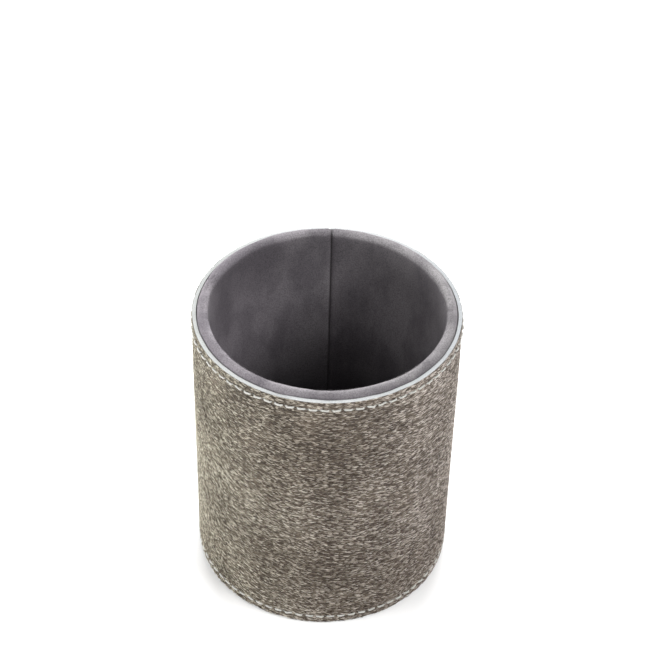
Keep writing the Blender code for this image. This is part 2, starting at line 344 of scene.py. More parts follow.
def suede_material():
    """Mauve-grey suede: a fine nap in brushed patches, paler over the rim where stretched and painted lit,
    and painted shade deep down.
    """
    material, tree, shader = new_material("suede", roughness=0.95, specular=0.15)
    shader.inputs["Sheen Weight"].default_value = 0.2
    shader.inputs["Sheen Roughness"].default_value = 0.5
    shader.inputs["Sheen Tint"].default_value = (0.82, 0.78, 0.82, 1.0)
    nap = object_noise(tree, scale=2400.0, detail=3.0)
    brushed = object_noise(tree, scale=90.0, detail=3.0, squeeze=(1.0, 1.0, 0.55))
    fine = colour_ramp(tree, nap, [(0.28, (0.132, 0.122, 0.130)), (0.62, (0.245, 0.227, 0.240))])
    patches = colour_ramp(tree, brushed, [(0.40, (0.66, 0.65, 0.67)), (0.60, grey(1.0))])
    brushed_suede = multiplied(tree, fine, patches)
    # Stored for each point: on the wall, the paler tone of stretched suede with a painted highlight on the
    # rim's crown, painted shade on its outer side and a painted sheen beside the seam; on the nap, each
    # fibre's own tone
    tone_and_light_tint = mixed_colour(tree, "MIX", attribute(tree, "tone_and_light"), INSIDE_TINT, RIM_TINT)
    tinted = multiplied(tree, brushed_suede, tone_and_light_tint)
    drift = colour_ramp(tree, along_axis(tree, "X", -LINING_RADIUS, LINING_RADIUS),
                        [(0.1, (0.98, 0.95, 0.98)), (0.9, (0.98, 0.98, 0.96))])
    # Painted shade: darker deep in the cup and in a band just under the rim
    depth = colour_ramp(tree, along_axis(tree, "Z", FLOOR_HIGH[2], RIM_TOP_Z), DEPTH_TONES)
    drifted = multiplied(tree, tinted, drift)
    depth_shaded = multiplied(tree, drifted, depth)
    cut = mixed_colour(tree, "MIX", attribute(tree, "seam"), depth_shaded, SEAM_COLOUR)
    colour_and_bump(tree, shader, cut, nap, strength=0.45, distance=0.12 * MM)
    return material


def thread_material():
    """Off-white sewing thread."""
    material, tree, shader = new_material("sewing_thread", roughness=0.6, specular=0.3)
    fibres = object_noise(tree, scale=3000.0)
    colour = colour_ramp(tree, fibres, [(0.3, (0.42, 0.415, 0.385)), (0.7, (0.62, 0.615, 0.585))])
    colour_and_bump(tree, shader, colour, fibres, strength=0.3, distance=0.05 * MM)
    return material


def board_material(name, dark, light):
    """Board or card: pressed fibres."""
    material, tree, shader = new_material(name, roughness=0.92, specular=0.2)
    fibres = object_noise(tree, scale=1200.0, detail=4.0, squeeze=(1.0, 1.0, 0.4))
    colour = colour_ramp(tree, fibres, [(0.35, dark), (0.65, light)])
    colour_and_bump(tree, shader, colour, fibres, strength=0.3, distance=0.1 * MM)
    return material


def base_leather_material():
    """Dark leather with a fine pebbled grain."""
    material, tree, shader = new_material("base_leather", roughness=0.55, specular=0.4)
    cells = tree.nodes.new("ShaderNodeTexVoronoi")
    cells.feature = "DISTANCE_TO_EDGE"
    cells.inputs["Scale"].default_value = 900.0
    tree.links.new(object_place(tree), cells.inputs["Vector"])
    grain = cells.outputs["Distance"]
    colour = colour_ramp(tree, grain, [(0.0, (0.020, 0.018, 0.018)), (0.25, (0.058, 0.052, 0.051))])
    colour_and_bump(tree, shader, colour, grain, strength=0.5, distance=0.15 * MM)
    return material


# -------- hide

# The hide's grid
COLUMNS_BETWEEN_HOLES = 3
EDGE_ROW_SPACING = 0.5 * MM
ROW_SPACING = 1.3 * MM

# How it departs from a plain tube: a faint ripple, edges rounded over on the outside, and a top edge
# that waves, sinks and leans in
RIPPLE_HEIGHT = 0.05 * MM
INNER_RIPPLE = 0.3
EDGE_WAVE_HEIGHT = 0.07 * MM
EDGE_DROP = 0.1 * MM
EDGE_REACH = 2 * MM
EDGE_ROUNDING = 0.14 * MM
ROUNDING_REACH = 0.25 * MM
LEAN_IN = 0.05 * MM
LEAN_REACH = 0.8 * MM
SHARP_EDGE_ANGLE = math.radians(50.0)


def hole_angles():
    pitch = math.tau / STITCH_PITCH_COUNT
    return HIDE_SEAM_ANGLE + pitch * (np.arange(STITCH_PITCH_COUNT) + 0.5)


def hide_columns():
    """Column angles from seam to seam, and which cells between them hold the needle holes."""
    half_gap = HIDE_SEAM_GAP / HIDE_RADIUS / 2
    half_hole = HOLE_LENGTH / HIDE_RADIUS / 2
    angles = [HIDE_SEAM_ANGLE + half_gap]
    for hole in hole_angles():
        angles.extend(np.linspace(angles[-1], hole - half_hole, COLUMNS_BETWEEN_HOLES + 1)[1:])
        angles.append(hole + half_hole)
    end = HIDE_SEAM_ANGLE + math.tau - half_gap
    angles.extend(np.linspace(angles[-1], end, COLUMNS_BETWEEN_HOLES + 1)[1:])
    plain = [False] * COLUMNS_BETWEEN_HOLES
    return np.array(angles), np.array([*plain, True] * STITCH_PITCH_COUNT + plain)


def hide_rows():
    """Row heights from bottom to top, and which cells between them hold the needle holes."""
    half = HOLE_HEIGHT / 2

    # Each stretch's top, the spacing of its rows, and whether it is a row of holes
    stretches = [(HIDE_BOTTOM_Z + CUT_BEVEL, CUT_BEVEL, False),
                 (BOTTOM_ROW_Z - half, EDGE_ROW_SPACING, False),
                 (BOTTOM_ROW_Z + half, HOLE_HEIGHT, True),
                 (TOP_ROW_Z - half, ROW_SPACING, False),
                 (TOP_ROW_Z + half, HOLE_HEIGHT, True),
                 (HIDE_TOP_Z - CUT_BEVEL, EDGE_ROW_SPACING, False),
                 (HIDE_TOP_Z, CUT_BEVEL, False)]
    heights = [HIDE_BOTTOM_Z]
    is_hole = []
    for end, spacing, holed in stretches:
        steps = spaced(heights[-1], end, spacing)[1:]
        heights.extend(steps)
        is_hole += [holed] * len(steps)
    return np.array(heights), np.array(is_hole)


def hide_surfaces(angle, z):
    """The outer and the inner points of the hide: faintly rippled, and rounded over at its edges."""
    ripple = wave_field(seed=11, around=14 * MM, up=25 * MM)(angle, z) * RIPPLE_HEIGHT
    edge_wave = wave_field(seed=12, around=9 * MM, up=400 * MM)(angle, z) * EDGE_WAVE_HEIGHT
    near_top = np.clip(1 - (HIDE_TOP_Z - z) / EDGE_REACH, 0, 1)
    from_edge = np.minimum(HIDE_TOP_Z - z, z - HIDE_BOTTOM_Z)
    round_over = np.exp(-from_edge / ROUNDING_REACH) * EDGE_ROUNDING
    lean_in = np.exp(-(HIDE_TOP_Z - z) / LEAN_REACH) * LEAN_IN
    lifted_z = z + (edge_wave - EDGE_DROP) * near_top
    outer = wrapped(angle, lifted_z, HIDE_RADIUS + ripple - round_over)
    inner = wrapped(angle, lifted_z, HIDE_INNER_RADIUS + ripple * INNER_RIPPLE - lean_in)
    return outer.reshape(-1, 3), inner.reshape(-1, 3)


def hide_faces(hole_columns, hole_rows):
    """Faces and material slots of the hide: 0 is the hair side, 1 a cut edge and 2 the flesh side."""
    columns, rows = len(hole_columns) + 1, len(hole_rows) + 1
    inner_start = columns * rows
    solid = ~(hole_columns[:, None] & hole_rows)
    padded = np.pad(solid, 1)
    faces, slots = [], []

    def add(corners, slot):
        faces.extend(corners.tolist())
        slots.extend([slot] * len(corners))

    column, row = np.nonzero(solid)
    low = column * rows + row
    quads = np.stack([low, low + rows, low + rows + 1, low + 1], axis=-1)
    on_edge = (row == 0) | (row == rows - 2)
    add(quads[~on_edge], 0)
    add(quads[on_edge], 1)
    add(quads[:, ::-1] + inner_start, 2)

    # Walls where a solid cell meets a hole or the outside, first up the columns, then along the rows
    for column, row in zip(*np.nonzero(padded[:-1, 1:-1] != padded[1:, 1:-1])):
        low = column * rows + row
        wall = np.array([[low, low + 1, low + 1 + inner_start, low + inner_start]])
        add(wall if padded[column, row + 1] else wall[:, ::-1], 1)
    for column, row in zip(*np.nonzero(padded[1:-1, :-1] != padded[1:-1, 1:])):
        low = column * rows + row
        wall = np.array([[low, low + inner_start, low + rows + inner_start, low + rows]])
        add(wall if padded[column + 1, row] else wall[:, ::-1], 1)
    return faces, slots


def make_hide():
    """The sheet of hide, closed all round, with its needle holes and its white cut edges."""
    angles, hole_columns = hide_columns()
    heights, hole_rows = hide_rows()
    angle, z = np.meshgrid(angles, heights, indexing="ij")
    points = np.concatenate(hide_surfaces(angle, z))
    faces, slots = hide_faces(hole_columns, hole_rows)
    materials = [hide_skin_material(), cut_edge_material(), flesh_side_material()]
    hide = new_mesh_object("hide_sheet", points, faces, materials, slots)
    hide.data.set_sharp_from_angle(angle=SHARP_EDGE_ANGLE)
    return hide


# -------- hair

HairLayer = namedtuple("HairLayer", "name pieces hairs length width lift ridge rings shades strays")

# Underfur, locks and single hairs. length, width and lift are (least, most); ridge is a hair's
# thickness over its width, shades run from 0, dark, to 1, pale, and strays is the share of hairs
# that lie over the stitches instead of under them. Hairs are counted for each piece.
HAIR_LAYERS = [
    HairLayer("hair_under", pieces=3, hairs=9000, rings=3,
              length=(1.7 * MM, 2.7 * MM), width=(0.40 * MM, 0.70 * MM), lift=(0.04 * MM, 0.14 * MM),
              ridge=0.2, shades=(0.0, 0.27), strays=0.0),
    HairLayer("hair_lock", pieces=5, hairs=8000, rings=4,
              length=(1.0 * MM, 2.2 * MM), width=(0.24 * MM, 0.44 * MM), lift=(0.14 * MM, 0.32 * MM),
              ridge=0.25, shades=(0.17, 1.0), strays=0.0),
    HairLayer("hair_fine", pieces=4, hairs=12000, rings=3,
              length=(0.8 * MM, 1.8 * MM), width=(0.10 * MM, 0.17 * MM), lift=(0.20 * MM, 0.36 * MM),
              ridge=0.45, shades=(0.0, 1.0), strays=0.15),
]
SEEDS_PER_LAYER = 100

# The way the hairs run: straight round the cup, give or take these angles
SWIRL = math.radians(5)
HEADING_SPREAD = math.radians(6)
BEND_SPREAD = math.radians(9)

# A hair's arch: its lift at the root as a share of the most, and how much of a half wave it follows
ROOT_LIFT = 0.2
ARCH = 0.65

# (place along a hair, share of its full width there), from root to tip
HAIR_TAPER = [(0.0, 0.35), (0.2, 0.85), (0.5, 1.0), (0.8, 0.7), (1.0, 0.0)]

# (height, share of the coat's usual height there): flat at the top, fuller at the foot
COAT_PROFILE = [(HIDE_BOTTOM_Z, 1.1),
                (HIDE_BOTTOM_Z + 2.0 * MM, 1.5),
                (HIDE_BOTTOM_Z + 25.0 * MM, 1.1),
                (HIDE_TOP_Z - 30.0 * MM, 1.0),
                (HIDE_TOP_Z - 1.2 * MM, 0.5),
                (HIDE_TOP_Z, 0.2)]

# Hairs stop short of the hide's edges, and lie pressed down under the stitches
EDGE_MARGIN = 0.18 * MM
WIDEST_TIP_MARGIN = 0.35 * MM
STITCH_CLEAR = 0.5 * MM
STITCH_HALF_LENGTH = 1.1 * MM
PRESSED_HEIGHT = 0.02 * MM

# Darker and paler patches of the coat: partly its own tone, partly painted light and shade, paler on the
# left and upper right, darker at the top middle and lower right. An angle is in degrees round from the
# front, towards +X.
ToneAndLightPatch = namedtuple("ToneAndLightPatch", "angle height half_width half_height tone")
TONE_AND_LIGHT_PATCHES = [ToneAndLightPatch(-8, 84 * MM, 21 * MM, 14 * MM, -0.21),
            ToneAndLightPatch(-46, 44 * MM, 25 * MM, 28 * MM, 0.17),
            ToneAndLightPatch(32, 62 * MM, 12 * MM, 12 * MM, 0.07),
            ToneAndLightPatch(48, 92 * MM, 14 * MM, 6 * MM, 0.15),
            ToneAndLightPatch(60, 20 * MM, 16 * MM, 20 * MM, -0.20),
            ToneAndLightPatch(0, 24 * MM, 24 * MM, 18 * MM, -0.08),
            ToneAndLightPatch(-88, 50 * MM, 24 * MM, 60 * MM, 0.10)]

# Tones added to a hair's shade: the most by random drift, above the top row of stitches, and root to tip
DRIFT_TONE = 0.05
TOP_EDGE_TONE = 0.09
TIP_TONE = 0.18

hair_swirl = wave_field(seed=21, around=22 * MM, up=30 * MM)
hair_tone = wave_field(seed=23, around=30 * MM, up=34 * MM)

# The hide laid flat: where it starts round the cup, how long it is and how high
HIDE_START = HIDE_SEAM_ANGLE * HIDE_RADIUS + HIDE_SEAM_GAP / 2
HIDE_LENGTH = math.tau * HIDE_RADIUS - HIDE_SEAM_GAP
HIDE_HEIGHT = HIDE_TOP_Z - HIDE_BOTTOM_Z

# Steps, as shares of the hide's length and height, that never repeat and so fill it evenly
EVEN_STEP_ALONG = 0.7548776662
EVEN_STEP_UP = 0.5698402910
LATEST_START = 1000
SHAKE = 0.5


def spread_evenly(random, count):
    """Distances round the hide from its seam and heights up it, spread evenly and then shaken."""
    shake = SHAKE * math.sqrt(HIDE_LENGTH * HIDE_HEIGHT / count)
    order = np.arange(count) + random.uniform(0, LATEST_START)
    along = np.mod(order * EVEN_STEP_ALONG, 1.0) * HIDE_LENGTH + random.normal(0, shake, count)
    up = np.mod(order * EVEN_STEP_UP, 1.0) * HIDE_HEIGHT + random.normal(0, shake, count)
    return np.mod(along, HIDE_LENGTH), HIDE_BOTTOM_Z + np.mod(up, HIDE_HEIGHT)


def near_stitch(around, z):
    """True for points under a stitch, where the thread presses the hair down."""
    pitch = math.tau * HIDE_RADIUS / STITCH_PITCH_COUNT
    beside_row = np.minimum(np.abs(z - TOP_ROW_Z), np.abs(z - BOTTOM_ROW_Z)) < STITCH_CLEAR
    from_middle = np.abs(np.mod(around - HIDE_SEAM_ANGLE * HIDE_RADIUS + pitch / 2, pitch) - pitch / 2)
    return beside_row & (from_middle < STITCH_HALF_LENGTH)


def read_off(pairs, places):
    """Values at the given places, straight-lined between the (place, value) pairs."""
    known_places, known_values = zip(*pairs)
    return np.interp(places, known_places, known_values)


def strand_paths(random, layer):
    """Each hair's path over the hide: distances round it, heights up it and heights off it."""
    from_seam, root_z = spread_evenly(random, layer.hairs)
    around = HIDE_START + from_seam
    length = np.minimum(random.uniform(*layer.length, layer.hairs), HIDE_LENGTH - from_seam)[:, None]
    lift = random.uniform(*layer.lift, layer.hairs)[:, None]
    heading = SWIRL * hair_swirl(around / HIDE_RADIUS, root_z)
    heading += random.normal(0, HEADING_SPREAD, layer.hairs)
    bend = random.normal(0, BEND_SPREAD, layer.hairs)

    step = np.linspace(0.0, 1.0, layer.rings + 1)
    direction = heading[:, None] + bend[:, None] * step / 2
    path_around = around[:, None] + length * step * np.cos(direction)
    path_z = root_z[:, None] + length * step * np.sin(direction)
    end_z = HIDE_TOP_Z - random.uniform(EDGE_MARGIN, WIDEST_TIP_MARGIN, layer.hairs)[:, None]
    path_z = np.clip(path_z, HIDE_BOTTOM_Z + EDGE_MARGIN, end_z)
    arch = ROOT_LIFT + (1 - ROOT_LIFT) * np.sin(step * math.pi * ARCH)
    height = lift * arch * read_off(COAT_PROFILE, path_z)
    stray = random.uniform(0, 1, layer.hairs)[:, None] < layer.strays
    pressed = near_stitch(path_around, path_z) & ~stray
    return step, direction, path_around, path_z, np.where(pressed, PRESSED_HEIGHT, height)


def strand_points(random, layer):
    """Corners (hairs, corners, 3) of each hair: rings of three round its path, and then its tip."""
    step, direction, around, z, height = strand_paths(random, layer)
    width = random.uniform(*layer.width, layer.hairs)[:, None]
    width = width * read_off(HAIR_TAPER, step)
    side_around = -np.sin(direction) * width / 2
    side_z = np.cos(direction) * width / 2
    upper_z = np.minimum(z + side_z, HIDE_TOP_Z - EDGE_MARGIN)
    lower_z = np.maximum(z - side_z, HIDE_BOTTOM_Z + EDGE_MARGIN)
    left = wrapped((around + side_around) / HIDE_RADIUS, upper_z, HIDE_RADIUS + height)
    right = wrapped((around - side_around) / HIDE_RADIUS, lower_z, HIDE_RADIUS + height)
    thickness = width * layer.ridge * read_off(COAT_PROFILE, z)
    ridge = wrapped(around / HIDE_RADIUS, z, HIDE_RADIUS + height + thickness)
    corners = np.stack([left, right, ridge], axis=2)
    rings = corners[:, :layer.rings].reshape(layer.hairs, -1, 3)
    return np.concatenate([rings, ridge[:, layer.rings:]], axis=1)


def strand_faces(hairs, rings):
    """Faces of all the hairs: quads along each, a triangle over its root, and three at its tip."""
    per_strand = rings * 3 + 1
    quads = []
    for ring in range(rings - 1):
        for side in range(3):
            low, next_low = ring * 3 + side, ring * 3 + (side + 1) % 3
            quads.append((low, next_low, next_low + 3, low + 3))
    last = (rings - 1) * 3
    triangles = [(last + side, last + (side + 1) % 3, per_strand - 1) for side in range(3)]
    triangles.append((0, 2, 1))
    starts = np.arange(hairs)[:, None, None] * per_strand
    faces = (starts + np.array(quads)).reshape(-1, 4).tolist()
    faces += (starts + np.array(triangles)).reshape(-1, 3).tolist()
    return faces


def coat_tone(angle, z):
    """How much paler or darker than usual the coat is: random drift, patches that are partly its own tone
    and partly painted light and shade, and paler hair above the top row of stitches.
    """
    tone = DRIFT_TONE * hair_tone(angle, z)
    for patch in TONE_AND_LIGHT_PATCHES:
        off = seam_distance(angle, math.radians(patch.angle - 90), HIDE_RADIUS) / patch.half_width
        tone += patch.tone * np.exp(-off ** 2 - ((z - patch.height) / patch.half_height) ** 2)
    return tone + TOP_EDGE_TONE * np.clip((z - TOP_ROW_Z) / MM, 0, 1)


def strand_shades(random, layer, points):
    """A shade for each corner of each hair: its own, a little darker at the root, paler at the tip."""
    root = points[:, 0]
    tone = coat_tone(np.arctan2(root[:, 1], root[:, 0]), root[:, 2])
    own = random.uniform(*layer.shades, layer.hairs) + tone
    along = np.append(np.repeat(np.arange(layer.rings) / layer.rings, 3), 1.0)
    return np.clip(own[:, None] + TIP_TONE * (along - 0.5), 0.0, 1.0)


def make_hair():
    """The coat: dark underfur, paler locks over it, and single hairs on top."""
    material = hair_material()
    pieces = []
    for number, layer in enumerate(HAIR_LAYERS):
        faces = strand_faces(layer.hairs, layer.rings)
        for part in range(layer.pieces):
            random = np.random.default_rng(SEEDS_PER_LAYER * number + part)
            points = strand_points(random, layer)
            shades = strand_shades(random, layer, points)
            piece = new_mesh_object(f"{layer.name}_{part + 1}", points, faces, [material])
            store_values(piece, "shade", shades)
            pieces.append(piece)
    return pieces


# -------- stitches

# The thread's centre line: its height over the hide, its dip at each hole, and how a stitch varies
THREAD_TOP = 0.35 * MM
THREAD_DIP = 1.25 * MM
THREAD_DIP_WIDTH = 0.58 * MM
DIP_SHARPNESS = 8
STITCH_TILT = 0.12 * MM
STITCH_CROWN = 0.05 * MM
POINTS_PER_STITCH = 160
THREAD_STEP = 0.17 * MM

# The thread and its plies
THREAD_RADIUS = 0.32 * MM
PLY_COUNT = 3
PLY_RADIUS = THREAD_RADIUS * 0.54
PLY_TWIST = 1.25 * MM
PLY_SIDES = 6


def thread_line(row_z, seed):
    """The thread's centre line, in even steps: over the hide from hole to hole, and into each hole."""
    random = np.random.default_rng(seed)
    pitch = math.tau * HIDE_RADIUS / STITCH_PITCH_COUNT
    first = hole_angles()[0] * HIDE_RADIUS
    stitches = STITCH_PITCH_COUNT - 1
    fine = np.linspace(0.0, pitch * stitches, POINTS_PER_STITCH * stitches + 1)
    from_hole = np.abs(np.mod(fine + pitch / 2, pitch) - pitch / 2)
    dip = THREAD_DIP / (1.0 + (from_hole / THREAD_DIP_WIDTH) ** DIP_SHARPNESS)
    stitch = np.minimum((fine / pitch).astype(int), stitches - 1)
    tilt = random.normal(0.0, STITCH_TILT, STITCH_PITCH_COUNT)[stitch]
    crown = random.normal(0.0, STITCH_CROWN, STITCH_PITCH_COUNT)[stitch]
    within = np.mod(fine, pitch) / pitch
    swell = np.sin(within * math.pi)
    radius = HIDE_RADIUS + THREAD_TOP - dip + crown * swell
    z = row_z + tilt * np.sin(within * math.tau) * swell
    line = wrapped((first + fine) / HIDE_RADIUS, z, radius)
    travelled = np.concatenate([[0.0], np.cumsum(np.linalg.norm(np.diff(line, axis=0), axis=1))])
    even = spaced(0.0, travelled[-1], THREAD_STEP)
    return np.stack([np.interp(even, travelled, line[:, axis]) for axis in range(3)], axis=-1), even


def ring_frames(line):
    """Two axes across the line at each point, the second one close to straight up."""
    along = np.gradient(line, axis=0)
    along /= np.linalg.norm(along, axis=1, keepdims=True)
    across = np.cross(along, np.array([0.0, 0.0, 1.0]))
    across /= np.linalg.norm(across, axis=1, keepdims=True)
    return across, np.cross(across, along)


def tube_mesh(line, radius, sides):
    """Points and faces of a closed tube round a line."""
    across, up = ring_frames(line)
    turn = math.tau * np.arange(sides) / sides
    offsets = across[:, None] * np.cos(turn)[:, None] + up[:, None] * np.sin(turn)[:, None]
    points = line[:, None] + offsets * radius
    faces = grid_faces(len(line), sides, closed_rows=True)[:, ::-1].tolist()
    faces.append(list(range(sides)))
    faces.append(list(range((len(line) - 1) * sides, len(line) * sides))[::-1])
    return points.reshape(-1, 3), faces


def make_stitches(name, row_z, seed, material):
    """One row of stitches: three plies twisted round each other."""
    line, travelled = thread_line(row_z, seed)
    across, up = ring_frames(line)
    points, faces, total = [], [], 0
    for ply in range(PLY_COUNT):
        turn = math.tau * (travelled / PLY_TWIST + ply / PLY_COUNT)
        offset = across * np.cos(turn)[:, None] + up * np.sin(turn)[:, None]
        ply_line = line + offset * (THREAD_RADIUS - PLY_RADIUS)
        ply_points, ply_faces = tube_mesh(ply_line, PLY_RADIUS, PLY_SIDES)
        faces += [[corner + total for corner in face] for face in ply_faces]
        points.append(ply_points)
        total += len(ply_points)
    return new_mesh_object(name, np.concatenate(points), faces, [material])


# -------- suede

# Spacing of the wall suede's rows: coarse on the wall, fine just under the rim, coarse on the flap
WALL_SPACING = 1.5 * MM
UNDER_RIM_SPACING = 0.3 * MM
UNDER_RIM_DEPTH = 1.5 * MM
FLAP_SPACING = 1.4 * MM
ROLL_POINTS = 17

# Spacing of its columns, and the distances from the butt seam of those that lie closer together
COLUMN_SPACING = 0.65 * MM
SEAM_STEPS = np.array([0.0, 0.12, 0.26, 0.42, 0.62, 0.86, 1.15, 1.5]) * MM

# Unevenness of the wall suede. The hide presses its turned-down part flat, and a little outward.
SOFT_HEIGHT = 0.09 * MM
FINE_HEIGHT = 0.018 * MM
RIM_LUMP_HEIGHT = 0.05 * MM
UNEVENNESS_LIMIT = 0.12 * MM
ROLL_SIDE_DAMPING = 0.2
PRESSED_LIMIT_DROP = 0.07 * MM
FLAP_PRESSED_OUT = 0.18 * MM

# The butt seam: a groove between two low swellings, and a dark line at the bottom of the groove
GROOVE_DEPTH = 0.5 * MM
GROOVE_WIDTH = 0.45 * MM
GROOVE_SHARPNESS = 1.4
SWELLING_HEIGHT = 0.12 * MM
SWELLING_PLACE = 1.6 * MM
SWELLING_WIDTH = 0.8 * MM
SEAM_LINE_WIDTH = 0.3 * MM
SEAM_LINE_STRENGTH = 0.85

# Where the suede is paler: over the rim, stretched and painted lit, with painted shade on its outer side,
# most at the front and a little at the left and back; and beside the seam, where a sheen is painted
PALE_CROWN_STARTS = 0.6 * MM
PALE_CROWN_FADE = 1.4 * MM
OUTER_SIDE_DROP = 0.6
FRONT_DROP = 0.25
RIGHT_AND_FRONT_GAIN = 0.09
SEAM_SHEEN = 0.35
SEAM_SHEEN_REACH = 16 * MM


def lining_columns():
    """Angles from one side of the butt seam right round to the other."""
    half_gap = LINING_SEAM_GAP / LINING_RADIUS / 2
    near = SEAM_STEPS / LINING_RADIUS
    start = LINING_SEAM_ANGLE + half_gap
    end = LINING_SEAM_ANGLE + math.tau - half_gap
    steps = int((end - start - 2 * near[-1]) * LINING_RADIUS / COLUMN_SPACING)
    middle = np.linspace(start + near[-1], end - near[-1], steps + 1)
    return np.concatenate([start + near[:-1], middle, end - near[:-1][::-1]])


def rim_profile(fold_radius):
    """(radius, z) from the bottom of the inside wall up, over the rim and down the outside."""
    fine_z = RIM_CENTRE_Z - UNDER_RIM_DEPTH
    inner_wall = np.concatenate([spaced(LINING_BOTTOM_Z, fine_z, WALL_SPACING)[:-1],
                                 spaced(fine_z, RIM_CENTRE_Z, UNDER_RIM_SPACING)[:-1]])
    turn = np.linspace(math.pi, 0.0, ROLL_POINTS)
    outer_wall = spaced(RIM_CENTRE_Z, FLAP_BOTTOM_Z, FLAP_SPACING)[1:]
    radius = np.concatenate([np.full(len(inner_wall), RIM_CENTRE_RADIUS - fold_radius),
                             RIM_CENTRE_RADIUS + fold_radius * np.cos(turn),
                             np.full(len(outer_wall), RIM_CENTRE_RADIUS + fold_radius)])
    z = np.concatenate([inner_wall, RIM_CENTRE_Z + fold_radius * np.sin(turn), outer_wall])
    return radius, z


def wall_suede_relief(angle, z, turn, rise):
    """How far the suede's face stands out of its profile."""
    soft = wave_field(seed=31, around=16 * MM, up=28 * MM)(angle, z) * SOFT_HEIGHT
    fine = wave_field(seed=32, around=2.4 * MM, up=2.0 * MM, terms=24)(angle, z) * FINE_HEIGHT
    lumps = wave_field(seed=33, around=5 * MM, up=60 * MM)(angle, z) * RIM_LUMP_HEIGHT * rise
    pressed = np.clip(turn, 0, 1)
    most = UNEVENNESS_LIMIT - PRESSED_LIMIT_DROP * pressed
    from_seam = seam_distance(angle, LINING_SEAM_ANGLE, LINING_RADIUS)
    groove = GROOVE_DEPTH * np.exp(-(from_seam / GROOVE_WIDTH) ** GROOVE_SHARPNESS)
    swelling = SWELLING_HEIGHT * np.exp(-((from_seam - SWELLING_PLACE) / SWELLING_WIDTH) ** 2)
    return np.clip(soft + fine + lumps, -most, most) - groove + swelling + FLAP_PRESSED_OUT * pressed


def wall_suede_tone_and_light(angle, z, turn):
    """How pale the suede's face is, 0 to 1: stretched and painted lit over the rim, with a painted sheen
    by the seam.
    """
    on_bead = np.arccos(-turn) * RIM_WIDTH / 2 - np.clip(RIM_CENTRE_Z - z, 0, None)
    fade_in = np.clip((on_bead + PALE_CROWN_STARTS) / PALE_CROWN_FADE, 0, 1)
    outer_side = np.clip(0.15 + 0.75 * turn, 0, 1)
    at_front = np.clip(-np.sin(angle), 0, 1)
    at_right = np.cos(angle)
    # Painted highlight over the crown, with painted shade on the rim's outer side, most at the front, and
    # at the left and back
    crown = fade_in * (1 - (OUTER_SIDE_DROP + FRONT_DROP * at_front) * outer_side)
    crown *= 1 - RIGHT_AND_FRONT_GAIN * (1 - at_right - at_front)
    beyond_seam = np.mod(angle - LINING_SEAM_ANGLE, math.tau) * LINING_RADIUS
    # Painted sheen: the nap on one side of the butt seam shines paler
    return np.maximum(crown, SEAM_SHEEN * np.exp(-beyond_seam / SEAM_SHEEN_REACH))


def make_wall_suede(material):
    """The suede inside the cup and over its rim, with the butt seam's groove at the back."""
    angle = lining_columns()[:, None]
    profile_radius, profile_z = rim_profile(RIM_WIDTH / 2)
    back_radius, back_z = rim_profile(RIM_WIDTH / 2 - SUEDE_THICKNESS)
    columns, rows = len(angle), 2 * len(profile_radius)

    # The way the face looks at each profile point: turn is its outward part and rise its upward part
    turn = np.clip((profile_radius - RIM_CENTRE_RADIUS) / (RIM_WIDTH / 2), -1, 1)
    rise = np.where(profile_z > RIM_CENTRE_Z, np.sqrt(np.maximum(0.0, 1 - turn ** 2)), 0.0)
    outward = wall_suede_relief(angle, profile_z, turn, rise)
    face_z = profile_z + outward * rise * (1 - turn ** 2 * ROLL_SIDE_DAMPING)
    face = wrapped(angle, face_z, profile_radius + outward * turn)
    back = wrapped(angle, back_z, back_radius)
    points = np.concatenate([face, back[:, ::-1]], axis=1)
    faces = grid_faces(columns, rows, closed_rows=True).tolist()
    faces.append(list(range(rows)))
    faces.append(list(range((columns - 1) * rows, columns * rows))[::-1])
    suede = new_mesh_object("wall_suede", points, faces, [material])

    # Painted highlight, shade and sheen of the suede, with its stretched tone, kept for its material
    tone_and_light = wall_suede_tone_and_light(angle, profile_z, turn)
    store_values(suede, "tone_and_light", np.concatenate([tone_and_light, tone_and_light[:, ::-1]], axis=1))
    from_seam = seam_distance(angle, LINING_SEAM_ANGLE, LINING_RADIUS)
    seam_line = SEAM_LINE_STRENGTH * np.exp(-(from_seam / SEAM_LINE_WIDTH) ** 2)
    store_values(suede, "seam", np.broadcast_to(seam_line, (columns, rows)))
    return suede


# Fibres that stand off the rim. NAP_FROM and NAP_TO are angles over the roll, from its outer side.
NAP_FIBRES = 16000
NAP_LENGTH = (0.18 * MM, 0.42 * MM)
NAP_WIDTH = 0.08 * MM
NAP_FROM = math.radians(-5)
NAP_TO = math.radians(200)
NAP_LEAN = 0.7
NAP_ROOT_DEPTH = 0.08 * MM
NAP_STRETCH = (0.1, 1.3)


